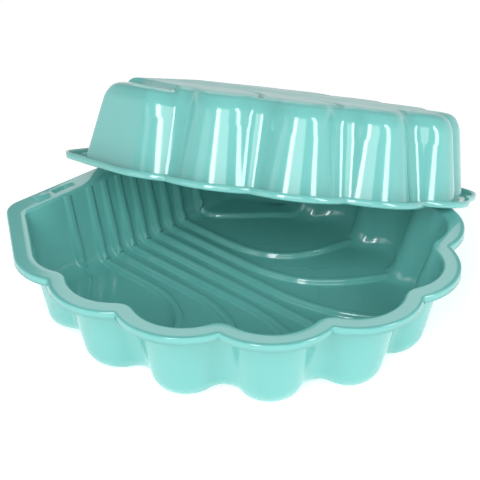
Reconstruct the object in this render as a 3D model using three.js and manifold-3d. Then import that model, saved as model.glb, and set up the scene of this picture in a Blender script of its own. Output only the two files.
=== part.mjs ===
// Sandbox with cover: two injection-moulded shell-shaped trays. One stands on the ground as the
// sandbox, and the other, upside down, is its loose cover. The cover is shown lifted askew, with
// its near rim propped on the base's rim and its far rim on the ground behind.
// Millimetres, +Z up. The fan of the base opens towards -Y. The shapes below are drawn from a point
// near the middle of the base's straight back edge, and the whole is moved at the end, so that the
// origin is on the ground under the middle of the footprint.
import * as THREE from "three";
import { mergeVertices } from "three/addons/utils/BufferGeometryUtils.js";
import Module from "manifold-3d";

const wasm = await Module();
wasm.setup();

// ---- driving dimensions ----
const HEIGHT = 180; // ground to the flat top of the rim
const WALL = 3; // moulded thickness
const LIP = 14; // depth of the turned-down edge of the rim
const FLANGE = 37; // plan width of the rim round the lobes, from the sharp outline
const BACK_EXTRA = 20; // the rim is this much wider along the straight back edge
const SIDE_EXTRA = 3; // and this much wider along the straight sides of the corner lobes
const BACK_Y = 49; // the sharp back edge lies this far behind the drawing point
const CORNER_DRAW = 0.7; // the shallower corner lobes are drawn in by this share of the others
const CORNER_RAISE = 10; // the two corner panels of the floor stand this much higher
const COVER_LIFT_GAP = 0.3; // clearance kept between the cover and what it rests on

// Sharp points between the ten lobes, on the +X half, from the back round to the middle of the
// front: [x, distance in front of the origin]. The lobe that leads to each point bulges by BULGE.
const NOTCHES = [[411, 240], [397, 408], [321, 579], [179, 708], [0, 768]];
const BULGE = [0, 30, 39, 42, 39];
const SIDE_FROM = [322.6, -1.5]; // a point on the straight side of the corner lobe
const SIDE_DIR = [0.521, 0.8536]; // its direction, away from the back edge
const SIDE_ARC = 128; // radius of the corner lobe's arc, between that side and the first notch
const BACK_CORNER = 56; // radius between the back edge and the straight side
const BACK_DRAW = 0.85; // the back wall is drawn in by this share of what the lobes are

// Ribs: raised inside and hollow below, down the back wall and across the floor to the notches.
const RIB_HALF = 11;
const RIB_TOP_HALF = 5;
const RIB_HEIGHT = 8;
const STEP_X = 184; // the outermost rib on each side turns into the step up to the corner panel

// Cross-section of the tray from the lip inwards, as [round, notch, lobe, height]. The sharp outline
// is first drawn in by notch at the notches and by lobe at the lobes, then inset by round, which
// rounds the notches to that radius.
const INSIDE = [
  [3, 0, 0, HEIGHT - LIP], [4.4, 0, 0, HEIGHT - 1.8], [9, 0, 0, HEIGHT],
  [FLANGE - 4, 0, 0, HEIGHT], [FLANGE, 2, 2, HEIGHT - 5], [FLANGE, 34, 22, 52],
  [FLANGE, 40, 27, 28], [FLANGE, 52, 38, 10.5], [FLANGE, 65, 50, 4.4], [FLANGE, 78, 62, WALL],
];
const OUTSIDE = [
  [6, 0, 0, HEIGHT - LIP], [7.2, 0, 0, HEIGHT - 4.7], [10, 0, 0, HEIGHT - WALL],
  [FLANGE - 5.6, 0, 0, HEIGHT - WALL], [FLANGE, -1, -1, HEIGHT - 6.4], [FLANGE, 31, 19, 52],
  [FLANGE, 37.2, 24.2, 26.6], [FLANGE, 50, 36, 8.1], [FLANGE, 64.2, 49.2, 1.5],
  [FLANGE, 77.5, 61.5, 0],
];

// ---- plan outline ----
const unit = ([x, y]) => [x / Math.hypot(x, y), y / Math.hypot(x, y)];

// Centre and end angles of an arc from a to b that bulges by h to the right of that direction.
function arcOver(a, b, h) {
  const chord = Math.hypot(b[0] - a[0], b[1] - a[1]);
  const along = unit([b[0] - a[0], b[1] - a[1]]);
  const radius = (chord * chord) / (8 * h) + h / 2;
  const middle = [(a[0] + b[0]) / 2, (a[1] + b[1]) / 2];
  const centre = [
    middle[0] - along[1] * (radius - h),
    middle[1] + along[0] * (radius - h),
  ];
  return arcAbout(centre, a, b, radius);
}

function arcAbout(centre, a, b, radius) {
  const from = Math.atan2(a[1] - centre[1], a[0] - centre[0]);
  let to = Math.atan2(b[1] - centre[1], b[0] - centre[0]);
  while (to < from) to += 2 * Math.PI;
  while (to - from > Math.PI) to -= 2 * Math.PI;
  return { centre, radius, from, to };
}

// The corner lobe's arc: tangent to the straight side, and ending on the first notch.
function cornerArc() {
  const inwards = [-SIDE_DIR[1], SIDE_DIR[0]];
  const start = [
    SIDE_FROM[0] + inwards[0] * SIDE_ARC - NOTCHES[0][0],
    SIDE_FROM[1] + inwards[1] * SIDE_ARC - NOTCHES[0][1],
  ];
  const half = start[0] * SIDE_DIR[0] + start[1] * SIDE_DIR[1];
  const rest = start[0] ** 2 + start[1] ** 2 - SIDE_ARC ** 2;
  const run = -half - Math.sqrt(half * half - rest);
  const touch = [SIDE_FROM[0] + SIDE_DIR[0] * run, SIDE_FROM[1] + SIDE_DIR[1] * run];
  const centre = [touch[0] + inwards[0] * SIDE_ARC, touch[1] + inwards[1] * SIDE_ARC];
  return arcAbout(centre, touch, NOTCHES[0], SIDE_ARC);
}

const mirrored = ([x, y]) => [-x, y];
const CORNER = cornerArc();
const polar = (centre, radius, angle) => [
  centre[0] + radius * Math.cos(angle), centre[1] + radius * Math.sin(angle),
];

// The way inwards at each notch, square to the line between its neighbours.
const INWARDS = NOTCHES.map((notch, i) => {
  if (i === 0) return unit([-0.98, -0.2]);
  const before = NOTCHES[i - 1];
  const after = NOTCHES[i + 1] ?? mirrored(before);
  return unit([before[1] - after[1], after[0] - before[0]]);
});

// Half of the outline at one level of the section: points {x, y, high}, from the back edge to the
// front notch. shift moves the ends of the step sideways, to keep the skins a wall apart.
function halfOutline([round, notchIn, lobeIn], shift) {
  const out = [];
  const widen = Math.min(round / FLANGE, 1);
  const back = -BACK_Y + round + BACK_EXTRA * widen + lobeIn * BACK_DRAW;
  const side = round + SIDE_EXTRA * widen;
  const add = (p, high) => out.push({ x: p[0], y: p[1], high });
  add([STEP_X - 3 + shift, back], 0);
  add([STEP_X + 3 + shift, back], 1);
  // rounded corner between the back edge and the straight side
  const radius = Math.max(BACK_CORNER - 1.4 * round, 10) + Math.max(lobeIn, 0) * 0.55;
  const inwards = [-SIDE_DIR[1], SIDE_DIR[0]];
  const cornerIn = lobeIn * CORNER_DRAW;
  const depth = side + cornerIn;
  const q = [SIDE_FROM[0] + inwards[0] * depth, SIDE_FROM[1] + inwards[1] * depth];
  const run = (back + radius - q[1] - inwards[1] * radius) / SIDE_DIR[1];
  const centre = [q[0] + SIDE_DIR[0] * run + inwards[0] * radius, back + radius];
  const turn = Math.atan2(-inwards[1], -inwards[0]);
  for (let i = 0; i <= 4; i += 1)
    add(polar(centre, radius, -Math.PI / 2 + ((turn + Math.PI / 2) * i) / 4), 1);
  // corner lobe: its inset eases from the side's to the first notch's
  for (let i = 0; i <= 5; i += 1) {
    const t = i / 5;
    const angle = CORNER.from + (CORNER.to - CORNER.from) * t;
    const inset = side * (1 - t) + round * t + cornerIn * (1 - t);
    const p = polar(CORNER.centre, CORNER.radius - inset, angle);
    add([p[0] + INWARDS[0][0] * notchIn * t, p[1] + INWARDS[0][1] * notchIn * t], 1);
  }
  // each notch is rounded about its own point, then comes the next lobe
  const drawn = NOTCHES.map((p, i) => [
    p[0] + INWARDS[i][0] * notchIn, p[1] + INWARDS[i][1] * notchIn,
  ]);
  const lobes = BULGE.slice(1).map((h, i) =>
    arcOver(drawn[i], drawn[i + 1], h + notchIn - lobeIn));
  drawn.forEach((notch, n) => {
    const before = n === 0 ? CORNER : lobes[n - 1];
    const from = before.to + Math.PI;
    const after = n === 4 ? Math.PI * 1.5 : lobes[n].from + Math.PI;
    const sweep = ((after - from + 5 * Math.PI) % (2 * Math.PI)) - Math.PI;
    const slip = shift / 150;
    const steps = n === 0 ? [0.22, 0.45 - slip, 0.55 - slip, 0.78, 1] : [0.33, 0.67, 1];
    const last = n === 4 ? [0.5, 1] : steps;
    last.forEach((t, i) =>
      add(polar(notch, round, from + sweep * t), n === 0 && i < 2 ? 1 : 0));
    if (n === 4) return;
    const { centre: c, radius: r, from: start, to } = lobes[n];
    for (let i = 1; i <= 6; i += 1)
      add(polar(c, r - round, start + ((to - start) * i) / 6), 0);
  });
  return out;
}

// The whole outline, anticlockwise from above, in the part's own axes (the fan towards -Y).
function outline(level, shift) {
  const half = halfOutline(level, shift).map((p) => ({ ...p, y: -p.y }));
  const other = half.slice(0, -1).reverse().map((p) => ({ ...p, x: -p.x }));
  return [...half, ...other].reverse();
}

// ---- shell ----
// One skin of the tray: rings of points from the lip to the floor, then the floor with its steps.
function addSkin(profile, shift, points, faces, flip) {
  const tri = (a, b, c) => faces.push(...(flip ? [a, c, b] : [a, b, c]));
  const start = points.length;
  const count = outline(profile[0], shift).length;
  for (const level of profile) {
    const z = level[3];
    const raise = CORNER_RAISE * Math.min(Math.max((110 - z) / 95, 0), 1);
    for (const p of outline(level, shift))
      points.push([p.x, p.y, z + p.high * raise]);
  }
  for (let k = 0; k + 1 < profile.length; k += 1)
    for (let i = 0; i < count; i += 1) {
      const a = start + k * count + i;
      const b = start + k * count + ((i + 1) % count);
      tri(a, b, b + count);
      tri(a, b + count, a + count);
    }
  // the floor: the main part, and the two raised corner panels
  const ring = start + (profile.length - 1) * count;
  const marks = outline(profile[0], shift).map((p) => p.high);
  const rise = [];
  for (let i = 0; i < count; i += 1)
    if (marks[i] !== marks[(i + 1) % count]) rise.push(i);
  const panel = (ids) => {
    const flat = ids.map((id) => new THREE.Vector2(points[id][0], points[id][1]));
    for (const [a, b, c] of THREE.ShapeUtils.triangulateShape(flat, []))
      tri(ids[a], ids[b], ids[c]);
  };
  const arcIds = (from, to) => {
    const ids = [];
    for (let i = from; ; i = (i + 1) % count) {
      ids.push(ring + i);
      if (i === to) return ids;
    }
  };
  // intermediate points of each step, from its back end to its notch end
  const stepRow = (backId, notchId) => {
    const ids = [backId];
    const [x0, y0, z0] = points[backId];
    const [x1, y1] = points[notchId];
    for (const t of [0.25, 0.5, 0.75]) {
      const bow = 3 * Math.sin(Math.PI * t) * Math.sign(x0);
      ids.push(points.length);
      points.push([x0 + (x1 - x0) * t - bow, y0 + (y1 - y0) * t - Math.abs(bow) * 0.7, z0]);
    }
    return [...ids, notchId];
  };
  const strips = [];
  const high = rise.filter((i) => marks[(i + 1) % count] === 1);
  for (const i of high) {
    let j = (i + 1) % count;
    while (marks[(j + 1) % count] === 1) j = (j + 1) % count;
    const low = [ring + i, ring + ((j + 1) % count)];
    const top = [ring + ((i + 1) % count), ring + j];
    const backFirst = points[low[0]][1] > points[low[1]][1];
    const lowRow = backFirst ? stepRow(low[0], low[1]) : stepRow(low[1], low[0]).reverse();
    const topRow = backFirst ? stepRow(top[0], top[1]) : stepRow(top[1], top[0]).reverse();
    strips.push({ i, j, lowRow });
    panel([...arcIds((i + 1) % count, j), ...topRow.slice(1, -1).reverse()]);
    for (let k = 0; k < 4; k += 1) {
      tri(lowRow[k], topRow[k], topRow[k + 1]);
      tri(lowRow[k], topRow[k + 1], lowRow[k + 1]);
    }
  }
  const [s0, s1] = strips;
  panel([
    ...arcIds((s0.j + 1) % count, s1.i), ...s1.lowRow.slice(1, -1),
    ...arcIds((s1.j + 1) % count, s0.i), ...s0.lowRow.slice(1, -1),
  ]);
  return { start, count };
}

function trayBlank() {
  const points = [];
  const faces = [];
  const inner = addSkin(INSIDE, 0, points, faces, false);
  const outer = addSkin(OUTSIDE, 3.4, points, faces, true);
  for (let i = 0; i < inner.count; i += 1) {
    const j = (i + 1) % inner.count;
    faces.push(inner.start + i, outer.start + i, outer.start + j);
    faces.push(inner.start + i, outer.start + j, inner.start + j);
  }
  return solid(points, faces);
}

function solid(points, faces) {
  const geometry = new THREE.BufferGeometry();
  geometry.setAttribute("position", new THREE.Float32BufferAttribute(points.flat(), 3));
  geometry.setIndex(faces);
  return toManifold(geometry);
}

function toManifold(geometry) {
  const bare = geometry.clone();
  bare.deleteAttribute("normal");
  bare.deleteAttribute("uv");
  const merged = mergeVertices(bare, 1e-4);
  return new wasm.Manifold(new wasm.Mesh({
    numProp: 3,
    vertProperties: new Float32Array(merged.attributes.position.array),
    triVerts: new Uint32Array(merged.index.array),
  }));
}

function toGeometry(made) {
  const mesh = made.getMesh();
  const geometry = new THREE.BufferGeometry();
  geometry.setAttribute("position", new THREE.BufferAttribute(mesh.vertProperties, 3));
  geometry.setIndex(new THREE.BufferAttribute(mesh.triVerts, 1));
  const flat = geometry.toNonIndexed();
  flat.computeVertexNormals();
  return flat;
}

// ---- ribs ----
// Stations down the back wall: [distance in front of the origin, height, normal y, normal z].
const backY = (lobeIn) => -BACK_Y + FLANGE + BACK_EXTRA + lobeIn * BACK_DRAW;
const WALL_STATIONS = [
  [backY(2), HEIGHT - 5, 1, 0], [backY(22), 52, 0.99, 0.14], [backY(27), 28, 0.9, 0.43],
  [backY(38), 10.5, 0.6, 0.8], [backY(50), 4.4, 0.28, 0.96], [backY(62), WALL, 0, 1],
];

// Floor course of each rib, [x, distance in front of the origin], on the +X half.
const COURSES = [
  [[0, 300], [0, 500], [0, 686]],
  [[39.6, 260], [39.6, 400], [46, 463], [65, 531], [92, 585], [123, 630]],
  [[79.2, 240], [81, 310], [92, 362], [111, 409], [142, 449], [186, 489], [240, 524]],
  [[118.8, 190], [123, 235], [137, 277], [165, 319], [220, 354], [302, 379]],
];

// A swept bar of trapezium section, from lists of points, sideways vectors and normals.
function bar(stations, half, topHalf, bottom, top) {
  const points = [];
  const faces = [];
  for (const { p, s, n } of stations)
    for (const [u, v] of [[-half, bottom], [half, bottom], [topHalf, top], [-topHalf, top]])
      points.push([0, 1, 2].map((k) => p[k] + s[k] * u + n[k] * v));
  for (let k = 0; k + 1 < stations.length; k += 1)
    for (let i = 0; i < 4; i += 1) {
      const a = 4 * k + i;
      const b = 4 * k + ((i + 1) % 4);
      faces.push(a, b, b + 4, a, b + 4, a + 4);
    }
  const z = 4 * (stations.length - 1);
  faces.push(0, 2, 1, 0, 3, 2, z, z + 1, z + 2, z, z + 2, z + 3);
  const made = solid(points, faces);
  return made.volume() < 0 ? solid(points, faces.reverse()) : made;
}

function ribStations(x, course) {
  const list = WALL_STATIONS.map(([y, z, ny, nz]) => {
    const length = Math.hypot(ny, nz);
    return { p: [x, -y, z], s: [1, 0, 0], n: [0, -ny / length, nz / length] };
  });
  course.forEach((c, i) => {
    const before = i === 0 ? [x, c[1] - 50] : course[i - 1];
    const after = course[i + 1] ?? c;
    const along = unit([after[0] - before[0], after[1] - before[1]]);
    list.push({ p: [c[0], -c[1], WALL], s: [along[1], along[0], 0], n: [0, 0, 1] });
  });
  return list;
}

function tray() {
  let made = trayBlank();
  const ribs = [];
  COURSES.forEach((course, i) => {
    ribs.push(ribStations(course[0][0], course));
    if (i > 0) ribs.push(ribStations(-course[0][0], course.map(mirrored)));
  });
  const short = WALL_STATIONS.slice(0, 4);
  for (const x of [STEP_X - 2, 2 - STEP_X])
    ribs.push(ribStations(x, []).slice(0, short.length));
  for (const stations of ribs) {
    const lower = stations.map((s, i) =>
      i === 0 ? { ...s, p: [s.p[0], s.p[1], s.p[2] - 6] } : s);
    made = made
      .add(bar(stations, RIB_HALF, RIB_TOP_HALF, -1.2, RIB_HEIGHT))
      .subtract(bar(lower, RIB_HALF - 2.2, RIB_TOP_HALF - 1.6, -WALL - 2, RIB_HEIGHT - WALL));
  }
  return made;
}

// ---- parts ----
const plastic = (name) => {
  const material = new THREE.MeshStandardMaterial({ color: 0x8fd6cf, roughness: 0.22, metalness: 0 });
  material.name = name;
  return material;
};

const moulded = toGeometry(tray());
const group = new THREE.Group();
group.name = "sandbox_with_cover";

const base = new THREE.Mesh(moulded, plastic("base_plastic"));
base.name = "base_shell";
group.add(base);

// The cover is the same shape upside down, a little smaller, so that it sits within the base's lip
// when it is closed. Its rim plane is tilted, and turned in plan.
const COVER_SCALE = 0.98;
const COVER_AT = [106.4, 85, HEIGHT - 33.5 + COVER_LIFT_GAP];
const COVER_TURN = 202.62;
const COVER_ROLL = 0.32;
const COVER_TILT = -20.7;
const radians = (degrees) => (degrees * Math.PI) / 180;
const tilt = new THREE.Group();
tilt.position.set(...COVER_AT);
tilt.rotation.set(radians(COVER_ROLL), radians(COVER_TILT), radians(COVER_TURN), "ZXY");
const cover = new THREE.Mesh(moulded.clone(), plastic("cover_plastic"));
cover.name = "cover_shell";
cover.rotation.x = Math.PI;
cover.scale.setScalar(COVER_SCALE);
cover.position.z = HEIGHT * COVER_SCALE;
tilt.add(cover);
group.add(tilt);

// Move the footprint's middle to the origin.
group.updateMatrixWorld(true);
const extent = new THREE.Box3().setFromObject(group, true);
const middle = extent.getCenter(new THREE.Vector3());
for (const shell of [base, tilt]) shell.position.add(new THREE.Vector3(-middle.x, -middle.y, 0));

export default group;
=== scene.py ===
# Sandbox with cover: two glossy injection-moulded shell-shaped trays, one standing on the floor and
# one upside down and askew on it. Shapes are drawn in millimetres, from a point near the middle of
# the tray's straight back edge, and are put in place in metres.
import math
import bpy
import numpy as np
from mathutils import Euler, Matrix, Vector
from mathutils.geometry import delaunay_2d_cdt


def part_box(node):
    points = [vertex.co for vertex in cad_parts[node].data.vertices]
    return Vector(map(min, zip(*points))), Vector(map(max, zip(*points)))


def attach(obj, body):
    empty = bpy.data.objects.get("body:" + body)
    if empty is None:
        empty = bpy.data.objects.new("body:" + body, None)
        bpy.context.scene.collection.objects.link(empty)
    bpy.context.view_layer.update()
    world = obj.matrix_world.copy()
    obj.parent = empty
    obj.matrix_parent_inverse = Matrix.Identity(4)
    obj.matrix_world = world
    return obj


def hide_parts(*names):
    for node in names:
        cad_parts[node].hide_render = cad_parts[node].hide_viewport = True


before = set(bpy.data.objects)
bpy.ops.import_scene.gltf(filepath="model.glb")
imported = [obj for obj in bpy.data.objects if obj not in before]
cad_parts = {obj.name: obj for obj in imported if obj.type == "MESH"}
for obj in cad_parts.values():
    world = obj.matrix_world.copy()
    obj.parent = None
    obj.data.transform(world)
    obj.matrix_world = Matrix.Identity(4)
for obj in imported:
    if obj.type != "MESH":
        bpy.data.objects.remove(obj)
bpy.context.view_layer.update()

# ---- driving dimensions, the same as the solids' ----
HEIGHT = 180
FLANGE = 37
BACK_EXTRA = 20
SIDE_EXTRA = 3
BACK_Y = 49
CORNER_DRAW = 0.7
CORNER_RAISE = 10
NOTCHES = [(411, 240), (397, 408), (321, 579), (179, 708), (0, 768)]
BULGE = [0, 30, 39, 42, 39]
SIDE_FROM = (322.6, -1.5)
SIDE_DIR = (0.521, 0.8536)
SIDE_ARC = 128
BACK_CORNER = 56
BACK_DRAW = 0.85
STEP_X = 184
RIB_X = (0, 39.6, 79.2, 118.8)
END_RIB_X = STEP_X - 8
COURSES = [
    [(0, 300), (0, 500), (0, 686)],
    [(39.6, 260), (39.6, 400), (46, 463), (65, 531), (92, 585), (123, 630)],
    [(79.2, 240), (81, 310), (92, 362), (111, 409), (142, 449), (186, 489), (240, 524)],
    [(118.8, 190), (123, 235), (137, 277), (165, 319), (220, 354), (302, 379)],
]

# Section of the visible top skin and of the underside: (round, notch, lobe, height, cut length of
# the fillet at that corner).
TOP_SECTION = [
    (3, 0, 0, 166, 0), (4.2, 0, 0, 180, 3.4), (37.2, 0, 0, 180, 5.5), (37, 34, 22, 52, 10),
    (37, 40, 27, 28, 9), (37, 52, 38, 10.5, 7), (37, 65, 50, 4.4, 6), (37, 78, 62, 3, 0),
]
UNDER_SECTION = [
    (6, 0, 0, 166, 0), (6.8, 0, 0, 177, 1.6), (33.8, 0, 0, 177, 4), (37, 31, 19, 52, 10),
    (37, 37.2, 24.2, 26.6, 9), (37, 50, 36, 8.1, 7), (37, 64.2, 49.2, 1.5, 6),
    (37, 77.5, 61.5, 0, 0),
]

# Profile across a rib: (distance from the middle, height), for each skin.
TOP_BEAD = [(0, 10.4), (2.8, 10.3), (4.6, 9.9), (5.8, 8.9), (6.8, 7.2), (8.8, 2.6), (9.8, 1.1),
            (10.9, 0.3), (12.4, 0)]
UNDER_BEAD = [(0, 10.4), (1.6, 10.2), (2.9, 9.5), (3.8, 8.2), (5.9, 3.2), (6.8, 1.5), (7.8, 0.45),
              (9.2, 0)]

# The locating pads on the back rim: (from x, to x, from y, to y), mirrored with boss and pocket
# changing places.
OUTER_PAD = (204, 236, 13, 28)
INNER_PAD = (156, 190, 14, 27)
BOSS_RISE = 4.6
POCKET_DEPTH = 5.5
PAD_ROUNDS = (12.9, 13.9, 15, 22.2, 23.3, 24.4)  # rings of points along the pads' edges


def unit(v):
    return (v[0] / math.hypot(*v), v[1] / math.hypot(*v))


def arc_about(centre, a, b, radius):
    start = math.atan2(a[1] - centre[1], a[0] - centre[0])
    end = math.atan2(b[1] - centre[1], b[0] - centre[0])
    while end < start:
        end += 2 * math.pi
    while end - start > math.pi:
        end -= 2 * math.pi
    return centre, radius, start, end


def arc_over(a, b, h):
    chord = math.hypot(b[0] - a[0], b[1] - a[1])
    along = unit((b[0] - a[0], b[1] - a[1]))
    radius = chord * chord / (8 * h) + h / 2
    middle = ((a[0] + b[0]) / 2, (a[1] + b[1]) / 2)
    centre = (middle[0] - along[1] * (radius - h), middle[1] + along[0] * (radius - h))
    return arc_about(centre, a, b, radius)


def corner_arc():
    inwards = (-SIDE_DIR[1], SIDE_DIR[0])
    sx = SIDE_FROM[0] + inwards[0] * SIDE_ARC - NOTCHES[0][0]
    sy = SIDE_FROM[1] + inwards[1] * SIDE_ARC - NOTCHES[0][1]
    half = sx * SIDE_DIR[0] + sy * SIDE_DIR[1]
    run = -half - math.sqrt(half * half - (sx * sx + sy * sy - SIDE_ARC ** 2))
    touch = (SIDE_FROM[0] + SIDE_DIR[0] * run, SIDE_FROM[1] + SIDE_DIR[1] * run)
    centre = (touch[0] + inwards[0] * SIDE_ARC, touch[1] + inwards[1] * SIDE_ARC)
    return arc_about(centre, touch, NOTCHES[0], SIDE_ARC)


CORNER = corner_arc()
INWARDS = [unit((-0.98, -0.2))]
for i in range(1, 5):
    before = NOTCHES[i - 1]
    after = NOTCHES[i + 1] if i < 4 else (-before[0], before[1])
    INWARDS.append(unit((before[1] - after[1], after[0] - before[0])))


def polar(c, r, a):
    return (c[0] + r * math.cos(a), c[1] + r * math.sin(a))


def back_stations():
    """x of the ring points along the back edge, fine at each rib and at the pads' edges."""
    xs = {0.0}
    for c in (*RIB_X, END_RIB_X):
        for d in (0, 1.4, 2.5, 3.4, 4.3, 5.3, 6.3, 7.3, 8.3, 9.3, 10.6, 12.4, 14.5):
            xs.update((c - d, c + d))
    xs.update((155, 156, 157, 163, 189.3, 190.5, 191.7, 192.5, 198, 203.5, 204.4, 205.4, 220,
               234.6, 235.6, 236.6, 242))
    out = []
    for x in sorted(v for v in xs if 0 <= v <= 246):
        if not out or x - out[-1] > 0.45:
            out.append(x)
    return out


BACK_X = back_stations()
# Shares of the turn round a notch at which its ring points lie.
SPREAD = [0.0, 0.1, 0.18, 0.25, 0.3, 0.34, 0.37, 0.4, 0.43, 0.46, 0.48, 0.5,
          0.52, 0.54, 0.57, 0.6, 0.63, 0.66, 0.7, 0.75, 0.82, 0.9, 1.0]


def half_ring(rnd, notch_in, lobe_in):
    out = []
    widen = min(rnd / FLANGE, 1)
    back = -BACK_Y + rnd + BACK_EXTRA * widen + lobe_in * BACK_DRAW
    side = rnd + SIDE_EXTRA * widen
    out.extend((x, back) for x in BACK_X)
    radius = max(BACK_CORNER - 0.95 * rnd, 10) + max(lobe_in, 0) * 0.55
    inwards = (-SIDE_DIR[1], SIDE_DIR[0])
    corner_in = lobe_in * CORNER_DRAW
    depth = side + corner_in
    q = (SIDE_FROM[0] + inwards[0] * depth, SIDE_FROM[1] + inwards[1] * depth)
    run = (back + radius - q[1] - inwards[1] * radius) / SIDE_DIR[1]
    centre = (q[0] + SIDE_DIR[0] * run + inwards[0] * radius, back + radius)
    turn = math.atan2(-inwards[1], -inwards[0])
    for i in range(13):
        out.append(polar(centre, radius, -math.pi / 2 + (turn + math.pi / 2) * i / 12))
    for i in range(21):
        t = i / 20
        inset = side * (1 - t) + rnd * t + corner_in * (1 - t)
        p = polar(CORNER[0], CORNER[1] - inset, CORNER[2] + (CORNER[3] - CORNER[2]) * t)
        out.append((p[0] + INWARDS[0][0] * notch_in * t, p[1] + INWARDS[0][1] * notch_in * t))
    drawn = [(p[0] + d[0] * notch_in, p[1] + d[1] * notch_in) for p, d in zip(NOTCHES, INWARDS)]
    lobes = [arc_over(drawn[i], drawn[i + 1], BULGE[i + 1] + notch_in - lobe_in) for i in range(4)]
    for n, notch in enumerate(drawn):
        start = (CORNER if n == 0 else lobes[n - 1])[3] + math.pi
        end = math.pi * 1.5 if n == 4 else lobes[n][2] + math.pi
        sweep = (end - start + 5 * math.pi) % (2 * math.pi) - math.pi
        ts = [2 * t for t in SPREAD[:12]] if n == 4 else SPREAD
        out.extend(polar(notch, rnd, start + sweep * t) for t in ts[1:])
        if n == 4:
            break
        c, r, a, b = lobes[n]
        out.extend(polar(c, r - rnd, a + (b - a) * i / 26) for i in range(1, 27))
    return out


def ring(level):
    half = np.array(half_ring(*level[:3])) * (1, -1)
    other = half[1:-1][::-1] * (-1, 1)
    return np.vstack([half, other])[::-1]


def eased(section, steps=4):
    """The section's corners turned into fillets."""
    out = [np.array(section[0][:4], float)]
    for k in range(1, len(section) - 1):
        p, before, after = (np.array(section[j][:4], float) for j in (k, k - 1, k + 1))
        cut = section[k][4]

        def towards(q):
            span = math.hypot(q[0] + (q[1] + q[2]) / 2 - p[0] - (p[1] + p[2]) / 2, q[3] - p[3])
            return p + (q - p) * min(cut / span, 0.5)
        a, b = towards(before), towards(after)
        for i in range(steps + 1):
            t = i / steps
            out.append(a * (1 - t) ** 2 + p * 2 * t * (1 - t) + b * t * t)
    out.append(np.array(section[-1][:4], float))
    kept = [out[0]]
    for level in out[1:]:
        if np.abs(level - kept[-1]).sum() > 0.3:
            kept.append(level)
    return kept


def with_levels(section, rounds):
    """More levels on the flat of the rim, where the locating boss and pocket are."""
    flat = [lv for lv in section if lv[1] == 0 and lv[2] == 0]
    z = max(lv[3] for lv in flat)
    out = []
    for a, b in zip(section, section[1:]):
        out.append(a)
        if a[3] == b[3] == z and b[0] - a[0] > 12:
            out.extend(np.array([r, 0, 0, z]) for r in rounds if a[0] + 0.5 < r < b[0] - 0.5)
    out.append(section[-1])
    return out


def smooth(t):
    t = np.clip(t, 0, 1)
    return t * t * (3 - 2 * t)


def to_line(points, line):
    """Distance from each point to a polyline, and the side of it they are on."""
    best = np.full(len(points), 1e9)
    side = np.ones(len(points))
    for a, b in zip(line, line[1:]):
        a, d = np.array(a, float), np.array(b, float) - np.array(a, float)
        t = np.clip(((points - a) @ d) / (d @ d), 0, 1)
        off = points - a - t[:, None] * d
        dist = np.hypot(off[:, 0], off[:, 1])
        cross = d[0] * off[:, 1] - d[1] * off[:, 0]
        near = dist < best
        best[near] = dist[near]
        side[near] = np.sign(cross[near])
    return best, side


def curve(points, step=9):
    """A smooth curve (centripetal Catmull-Rom) through control points."""
    pts = [np.array(p, float) for p in points]
    pts = [2 * pts[0] - pts[1]] + pts + [2 * pts[-1] - pts[-2]]
    out = [pts[1]]
    for p0, p1, p2, p3 in zip(pts, pts[1:], pts[2:], pts[3:]):
        n = max(2, int(np.hypot(*(p2 - p1)) / step))
        t0, t1 = 0.0, np.hypot(*(p1 - p0)) ** 0.5
        t2 = t1 + np.hypot(*(p2 - p1)) ** 0.5
        t3 = t2 + np.hypot(*(p3 - p2)) ** 0.5
        for i in range(1, n + 1):
            t = t1 + (t2 - t1) * i / n
            a1 = (t1 - t) / (t1 - t0) * p0 + (t - t0) / (t1 - t0) * p1
            a2 = (t2 - t) / (t2 - t1) * p1 + (t - t1) / (t2 - t1) * p2
            a3 = (t3 - t) / (t3 - t2) * p2 + (t - t2) / (t3 - t2) * p3
            b1 = (t2 - t) / (t2 - t0) * a1 + (t - t0) / (t2 - t0) * a2
            b2 = (t3 - t) / (t3 - t1) * a2 + (t - t1) / (t3 - t1) * a3
            out.append((t2 - t) / (t2 - t1) * b1 + (t - t1) / (t2 - t1) * b2)
    return np.array(out)


# Every rib's course on the floor, from the back wall to its notch, mirrored but for the middle one.
RIBS = []
for i, course in enumerate(COURSES):
    x0 = course[0][0]
    line = curve([(x0, -60), (x0, course[0][1] * 0.5)] + course) * (1, -1)
    RIBS.append(line)
    if i:
        RIBS.append(line * (-1, 1))

# The step up to each corner panel, from the back wall to the first notch.
NOTCH_FOOT = TOP_SECTION[-1][1]
foot = (NOTCHES[0][0] + INWARDS[0][0] * NOTCH_FOOT, NOTCHES[0][1] + INWARDS[0][1] * NOTCH_FOOT)
STEP_LINE = curve([
    (STEP_X - 7, -60), (STEP_X - 7, 36), (STEP_X - 1, 72), (STEP_X + 27, 108),
    (foot[0] - 60, foot[1] - 52), (foot[0] - 24, foot[1] - 14), foot]) * (1, -1)
STEP_LINE = np.vstack([STEP_LINE, [NOTCHES[0][0] + 60, -NOTCHES[0][1] - 12]])
RISER_WIDTH = 9


def corner_share(xy, slip):
    """1 over the raised corner panels, 0 elsewhere, easing over the riser."""
    share = np.zeros(len(xy))
    for sign in (1, -1):
        p = xy * (sign, 1)
        dist, side = to_line(p, STEP_LINE)
        signed = dist * side  # positive on the corner's side
        eased_in = smooth((signed - slip + RISER_WIDTH / 2) / RISER_WIDTH)
        share = np.maximum(share, eased_in * (p[:, 0] > 0))
    return share


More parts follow.
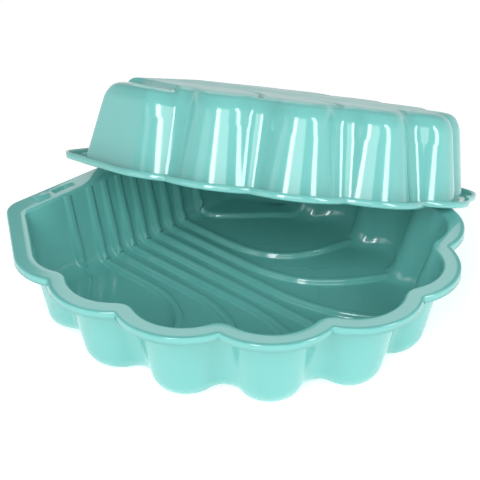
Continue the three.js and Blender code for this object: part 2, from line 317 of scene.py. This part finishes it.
def boss_height(x, y):
    """The locating boss and pocket at each end of the back rim."""
    def pad(x0, x1, y0, y1, edge=1.3):
        u = np.clip(np.minimum(x - x0, x1 - x) / edge + 0.5, 0, 1)
        v = np.clip(np.minimum(y - y0, y1 - y) / edge + 0.5, 0, 1)
        return smooth(u) * smooth(v)

    def mirrored(x0, x1, y0, y1):
        return pad(-x1, -x0, y0, y1)
    return (BOSS_RISE * (mirrored(*OUTER_PAD) + pad(*INNER_PAD))
            - POCKET_DEPTH * (mirrored(*INNER_PAD) + pad(*OUTER_PAD)))


def bead(profile, d):
    """Height of a rib at distance d from its middle."""
    ds, hs = zip(*profile)
    return np.interp(d, ds, hs)


def skin(section, profile, slip):
    """Points and faces of one skin of the tray, from the lip in to the whole floor."""
    levels = with_levels(eased(section), PAD_ROUNDS)
    rings = [ring(lv) for lv in levels]
    count = len(rings[0])
    top = section[1][3]
    floor = section[-1][3]
    xy = np.array(rings)
    z = np.repeat(np.array([lv[3] for lv in levels])[:, None], count, 1)
    pts = np.dstack([xy, z])
    share = corner_share(xy.reshape(-1, 2), slip).reshape(z.shape)
    pts[:, :, 2] += share * CORNER_RAISE * np.clip((110 - z) / 95, 0, 1)
    # ribs down the back wall stand out along its normal
    mid = pts.copy()
    for k in range(1, len(levels) - 1):
        tangent = mid[k + 1][:, 1:] - mid[k - 1][:, 1:]
        size = np.hypot(tangent[:, 0], tangent[:, 1]) + 1e-9
        normal = np.stack([tangent[:, 1] / size, -tangent[:, 0] / size], 1)
        on_back = (xy[k][:, 1] > -130) & (np.abs(xy[k][:, 0]) < 215) & (levels[k][0] > 33)
        taper = smooth((174 - levels[k][3]) / 6)
        rise = np.zeros(count)
        across = np.abs(xy[k][:, 0])
        for c in RIB_X:
            rise = np.maximum(rise, bead(profile, np.abs(across - c)))
        ends = bead(profile, np.abs(across - END_RIB_X))
        rise = np.maximum(rise, ends * smooth((levels[k][3] - 8) / 10))
        rise *= taper * on_back
        pts[k, :, 1] += normal[:, 0] * rise
        pts[k, :, 2] += normal[:, 1] * rise
    last = len(levels) - 1

    def rib_rise(flat):
        rise = np.zeros(len(flat))
        for line in RIBS:
            dist, _ = to_line(flat, line)
            rise = np.maximum(rise, bead(profile, dist))
        return rise

    # the ribs' front ends run into the notches' feet
    for k in range(1, last + 1):
        if levels[k][3] > floor + 14 or levels[k][0] < 30:
            continue
        front = xy[k][:, 1] < -150
        rise = rib_rise(xy[k])
        want = floor + rise
        lift = np.where(front & (rise > 0), np.maximum(want - pts[k, :, 2], 0), 0)
        pts[k, :, 2] += lift
    pts[last, :, 2] = np.where(
        xy[last][:, 1] > -150,
        floor + rib_rise(xy[last]) + share[last] * CORNER_RAISE, pts[last, :, 2])
    # the pads on the flat of the rim
    for k in range(last):
        if abs(levels[k][3] - top) < 0.01:
            pts[k, :, 2] += boss_height(pts[k, :, 0], pts[k, :, 1])
    verts = list(pts.reshape(-1, 3))
    faces = []
    for k in range(last):
        a = k * count
        for i in range(count):
            j = (i + 1) % count
            faces.append((a + i, a + j, a + count + j, a + count + i))
    # the floor, with edges along the ribs and the steps
    edge_ids = [last * count + i for i in range(count)]
    border = [tuple(pts[last, i, :2]) for i in range(count)]
    coords = list(border)
    edges = []
    closed = np.array(border)

    def inside(flat):
        x, y = flat[:, 0], flat[:, 1]
        odd = np.zeros(len(flat), bool)
        for a, b in zip(closed, np.roll(closed, -1, 0)):
            hit = (a[1] > y) != (b[1] > y)
            with np.errstate(divide="ignore", invalid="ignore"):
                cross = a[0] + (y - a[1]) / (b[1] - a[1]) * (b[0] - a[0])
            odd ^= hit & (x < cross)
        dist, _ = to_line(flat, list(closed) + [closed[0]])
        return odd & (dist > 1.2)

    def lay(line, offsets):
        step = np.gradient(line, axis=0)
        step /= np.hypot(step[:, 0], step[:, 1])[:, None]
        across = np.stack([-step[:, 1], step[:, 0]], 1)
        for d in offsets:
            row = line + across * d
            ok = inside(row)
            before = None
            for p, good in zip(row, ok):
                if good:
                    coords.append(tuple(p))
                    if before is not None:
                        edges.append((before, len(coords) - 1))
                    before = len(coords) - 1
                else:
                    before = None
    marks = sorted({d for d, _ in profile} | {13.5})
    for line in RIBS:
        lay(line, sorted({s * d for d in marks for s in (1, -1)}))
    riser_marks = (-8, -4.5, -3.4, -2.2, -1, 0, 1, 2.2, 3.4, 4.5, 8)
    for sign in (1, -1):
        lay(STEP_LINE * (sign, 1), [sign * (slip + d) for d in riser_marks])
    grid = np.array([(x, y) for x in range(-380, 381, 24) for y in range(-700, -60, 24)], float)
    clear = inside(grid)
    for line in RIBS + [STEP_LINE, STEP_LINE * (-1, 1)]:
        dist, _ = to_line(grid, line)
        clear &= dist > 17
    coords.extend(tuple(p) for p in grid[clear])
    flat, _, tris, source, _, _ = delaunay_2d_cdt(
        [Vector(p) for p in coords], edges, [list(range(count))], 1, 1e-4)
    new = np.array([tuple(p) for p in flat])
    height = floor + rib_rise(new) + corner_share(new, slip) * CORNER_RAISE
    ids = []
    for p, h, came in zip(new, height, source):
        mine = [s for s in came if s < count]
        if mine:
            ids.append(edge_ids[mine[0]])
        else:
            ids.append(len(verts))
            verts.append(np.array((p[0], p[1], h)))
    for tri in tris:
        faces.append(tuple(ids[t] for t in tri))
    return np.array(verts), faces, count


def tray_mesh():
    """Points and faces of the whole tray, and the two masks that its material reads."""
    top, top_faces, count = skin(TOP_SECTION, TOP_BEAD, 0)
    under, under_faces, _ = skin(UNDER_SECTION, UNDER_BEAD, 3.4)
    shift = len(top)
    faces = [tuple(f) for f in top_faces]
    faces += [tuple(shift + v for v in reversed(f)) for f in under_faces]
    for i in range(count):
        j = (i + 1) % count
        faces.append((j, i, shift + i, shift + j))
    # where the mould is matt (under the floor), and where it has faint lines (on the floor)
    matte = smooth((13 - under[:, 2]) / 8)
    from_middle = (top[:, 0] / 250) ** 2 + ((top[:, 1] + 370) / 235) ** 2
    patch = smooth((6.5 - top[:, 2]) / 3) * smooth((1 - from_middle) / 0.25)
    return (np.vstack([top, under]), faces, np.r_[np.zeros(len(top)), matte],
            np.r_[patch, np.zeros(len(under))])


verts, faces, matte, patch = tray_mesh()

# ---- placing: the drawing point, in the frame ----
base_lo, base_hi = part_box("base_shell")
drawn_back = max(p[1] for p in ring(TOP_SECTION[0]))
DRAWN_AT = Vector(((base_lo[0] + base_hi[0]) / 2, base_hi[1] - drawn_back / 1000, 0))


def placed(x, y, z):
    return DRAWN_AT + Vector((x, y, z)) / 1000


def shell(name, matrix):
    """A tray as an object, its points moved by matrix (in millimetres) to their place."""
    mesh = bpy.data.meshes.new(name)
    whole = Matrix.Translation(DRAWN_AT) @ Matrix.Scale(0.001, 4) @ matrix
    flat = np.c_[verts, np.ones(len(verts))] @ np.array(whole).T
    mesh.from_pydata(flat[:, :3].tolist(), [], faces)
    mesh.validate()
    mesh.update()
    mesh.shade_smooth()
    for label, values in (("matte", matte), ("patch", patch)):
        mesh.attributes.new(label, "FLOAT", "POINT").data.foreach_set("value", values)
    obj = bpy.data.objects.new(name, mesh)
    bpy.context.scene.collection.objects.link(obj)
    return obj


COVER_SCALE = 0.98
COVER_AT = (106.4, 85, HEIGHT - 33.5 + 0.3)
COVER_TURN, COVER_ROLL, COVER_TILT = 202.62, 0.32, -20.7
tilt = (Matrix.Translation(COVER_AT) @ Matrix.Rotation(math.radians(COVER_TURN), 4, "Z")
        @ Matrix.Rotation(math.radians(COVER_ROLL), 4, "X")
        @ Matrix.Rotation(math.radians(COVER_TILT), 4, "Y"))
upside_down = (Matrix.Translation((0, 0, HEIGHT * COVER_SCALE)) @ Matrix.Rotation(math.pi, 4, "X")
               @ Matrix.Scale(COVER_SCALE, 4))
base = shell("base_tray", Matrix.Identity(4))
cover = shell("cover_tray", tilt @ upside_down)


# ---- materials ----
def node(tree, kind, **values):
    """A new node, with values given to its own settings or else to its inputs."""
    made = tree.nodes.new(kind)
    for key, value in values.items():
        if hasattr(made, key):
            setattr(made, key, value)
        else:
            made.inputs[key.replace("_", " ")].default_value = value
    return made


def plastic(name, color, deep):
    """Glossy moulded plastic, its tone between color and deep."""
    mat = bpy.data.materials.new(name)
    mat.use_nodes = True
    tree = mat.node_tree
    shader = tree.nodes["Principled BSDF"]
    link = tree.links.new
    place = node(tree, "ShaderNodeTexCoord")
    # slow change of tone, from the flow of the moulding
    flow = node(tree, "ShaderNodeTexNoise", Scale=3.5, Detail=3.0, Roughness=0.5)
    link(place.outputs["Object"], flow.inputs["Vector"])
    tone = node(tree, "ShaderNodeMix", data_type="RGBA")
    tone.inputs[6].default_value = (*deep, 1)
    tone.inputs[7].default_value = (*color, 1)
    link(flow.outputs["Fac"], tone.inputs[0])
    link(tone.outputs[2], shader.inputs["Base Color"])
    # patches of handling wear in the gloss
    haze = node(tree, "ShaderNodeTexNoise", Scale=14.0, Detail=6.0, Roughness=0.62)
    link(place.outputs["Object"], haze.inputs["Vector"])
    gloss = node(tree, "ShaderNodeMapRange")
    gloss.inputs["From Min"].default_value = 0.3
    gloss.inputs["From Max"].default_value = 0.75
    gloss.inputs["To Min"].default_value = 0.09
    gloss.inputs["To Max"].default_value = 0.15
    link(haze.outputs["Fac"], gloss.inputs["Value"])
    mask = node(tree, "ShaderNodeAttribute", attribute_name="matte")
    rough = node(tree, "ShaderNodeMath", operation="MULTIPLY_ADD")
    link(mask.outputs["Fac"], rough.inputs[0])
    rough.inputs[1].default_value = 0.2
    link(gloss.outputs["Result"], rough.inputs[2])
    link(rough.outputs["Value"], shader.inputs["Roughness"])
    # slight waviness of a large thin moulding, and the fine texture of the mould
    wave = node(tree, "ShaderNodeTexNoise", Scale=18.0, Detail=1.0, Roughness=0.4)
    fine = node(tree, "ShaderNodeTexNoise", Scale=900.0, Detail=2.0, Roughness=0.5)
    link(place.outputs["Object"], wave.inputs["Vector"])
    link(place.outputs["Object"], fine.inputs["Vector"])
    wave_bump = node(tree, "ShaderNodeBump", Strength=0.05, Distance=0.0006)
    fine_bump = node(tree, "ShaderNodeBump", Strength=0.12, Distance=0.0001)
    link(wave.outputs["Fac"], wave_bump.inputs["Height"])
    link(fine.outputs["Fac"], fine_bump.inputs["Height"])
    link(wave_bump.outputs["Normal"], fine_bump.inputs["Normal"])
    # faint raised lines in the floor of the tray
    drift = node(tree, "ShaderNodeTexNoise", Scale=6.0, Detail=1.0)
    link(place.outputs["Object"], drift.inputs["Vector"])
    bend = node(tree, "ShaderNodeVectorMath", operation="MULTIPLY_ADD")
    link(drift.outputs["Color"], bend.inputs[0])
    bend.inputs[1].default_value = (0.08, 0.08, 0.0)
    link(place.outputs["Object"], bend.inputs[2])
    cells = node(tree, "ShaderNodeTexVoronoi", feature="DISTANCE_TO_EDGE",
                 voronoi_dimensions="2D", Scale=13.0)
    link(bend.outputs["Vector"], cells.inputs["Vector"])
    line = node(tree, "ShaderNodeMapRange", interpolation_type="SMOOTHSTEP")
    for key, value in (("From Min", 0.012), ("From Max", 0.03), ("To Min", 1.0), ("To Max", 0.0)):
        line.inputs[key].default_value = value
    link(cells.outputs["Distance"], line.inputs["Value"])
    where = node(tree, "ShaderNodeAttribute", attribute_name="patch")
    lines = node(tree, "ShaderNodeMath", operation="MULTIPLY")
    link(line.outputs["Result"], lines.inputs[0])
    link(where.outputs["Fac"], lines.inputs[1])
    line_bump = node(tree, "ShaderNodeBump", Strength=0.6, Distance=0.0006)
    link(lines.outputs["Value"], line_bump.inputs["Height"])
    link(fine_bump.outputs["Normal"], line_bump.inputs["Normal"])
    link(line_bump.outputs["Normal"], shader.inputs["Normal"])
    shader.inputs["IOR"].default_value = 1.72
    return mat


base.data.materials.append(plastic("base_plastic", (0.150, 0.492, 0.460), (0.140, 0.470, 0.439)))
# painted light: the cover is the same plastic as the base, its colours made lighter to stand in for
# the extra light falling on the cover's lobes
cover.data.materials.append(plastic("cover_plastic", (0.180, 0.535, 0.502), (0.169, 0.512, 0.480)))

for piece, body, solid, slot in (
        (base, "base", "base_shell", "base_plastic"),
        (cover, "cover", "cover_shell", "cover_plastic")):
    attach(piece, body)
    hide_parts(solid)

# ---- floor, light and camera ----
bpy.ops.mesh.primitive_plane_add(size=9, location=(0, 0, 0))
floor = bpy.context.object
floor.name = "floor"
floor_mat = bpy.data.materials.new("pale_floor")
floor_mat.use_nodes = True
floor_shader = floor_mat.node_tree.nodes["Principled BSDF"]
for key, value in (("Base Color", (0.92, 0.92, 0.92, 1)), ("Roughness", 0.9),
                   ("Emission Color", (1, 1, 1, 1)), ("Emission Strength", 0.46)):
    floor_shader.inputs[key].default_value = value
floor.data.materials.append(floor_mat)

world = bpy.data.worlds.new("studio")
bpy.context.scene.world = world
world.use_nodes = True
world.node_tree.nodes["Background"].inputs["Color"].default_value = (1, 1, 1, 1)
# brighter towards the horizon than overhead
sky = world.node_tree
ray = node(sky, "ShaderNodeTexCoord")
split = node(sky, "ShaderNodeSeparateXYZ")
fade = node(sky, "ShaderNodeMapRange", interpolation_type="SMOOTHSTEP")
for key, value in (("From Min", 0.05), ("From Max", 0.55), ("To Min", 0.85), ("To Max", 0.22)):
    fade.inputs[key].default_value = value
sky.links.new(ray.outputs["Generated"], split.inputs[0])
sky.links.new(split.outputs["Z"], fade.inputs["Value"])
sky.links.new(fade.outputs["Result"], sky.nodes["Background"].inputs["Strength"])


def softbox(name, at, look, size, power):
    """A rectangular light at a point, turned to look at another."""
    lamp = bpy.data.lights.new(name, "AREA")
    lamp.shape = "RECTANGLE"
    lamp.size, lamp.size_y = size
    lamp.energy = power
    obj = bpy.data.objects.new(name, lamp)
    obj.location = at
    obj.rotation_euler = (Vector(look) - Vector(at)).to_track_quat("-Z", "Y").to_euler()
    bpy.context.scene.collection.objects.link(obj)


def around(azimuth, distance, height):
    """A point at an azimuth in degrees from +X, as seen from above."""
    a = math.radians(azimuth)
    return (distance * math.cos(a), distance * math.sin(a), height)


softbox("front", around(-140, 3.2, 2.6), (0, 0, 0.2), (2.8, 1.9), 42)
softbox("back", around(42, 3.4, 2.3), (0, 0, 0.2), (2.6, 1.8), 22)
softbox("left", around(168, 3.0, 1.4), (0, 0, 0.2), (1.6, 1.6), 8)
softbox("strip_left", around(-158, 2.6, 1.9), (0, 0, 0.2), (0.6, 2.2), 31)
softbox("strip_right", around(-82, 2.6, 1.5), (0, 0, 0.2), (0.6, 1.9), 27)

bpy.context.scene.view_settings.view_transform = "Standard"

camera = bpy.data.cameras.new("camera")
camera.lens = 73.095
camera.sensor_width = 36
camera.clip_start, camera.clip_end = 0.05, 50
eye = bpy.data.objects.new("camera", camera)
eye.location = placed(-1239.68, -1481.25, 1111.99)
eye.rotation_euler = Euler([math.radians(a) for a in (59.651, 0.1476, -47.2216)], "XYZ")
bpy.context.scene.collection.objects.link(eye)
bpy.context.scene.camera = eye
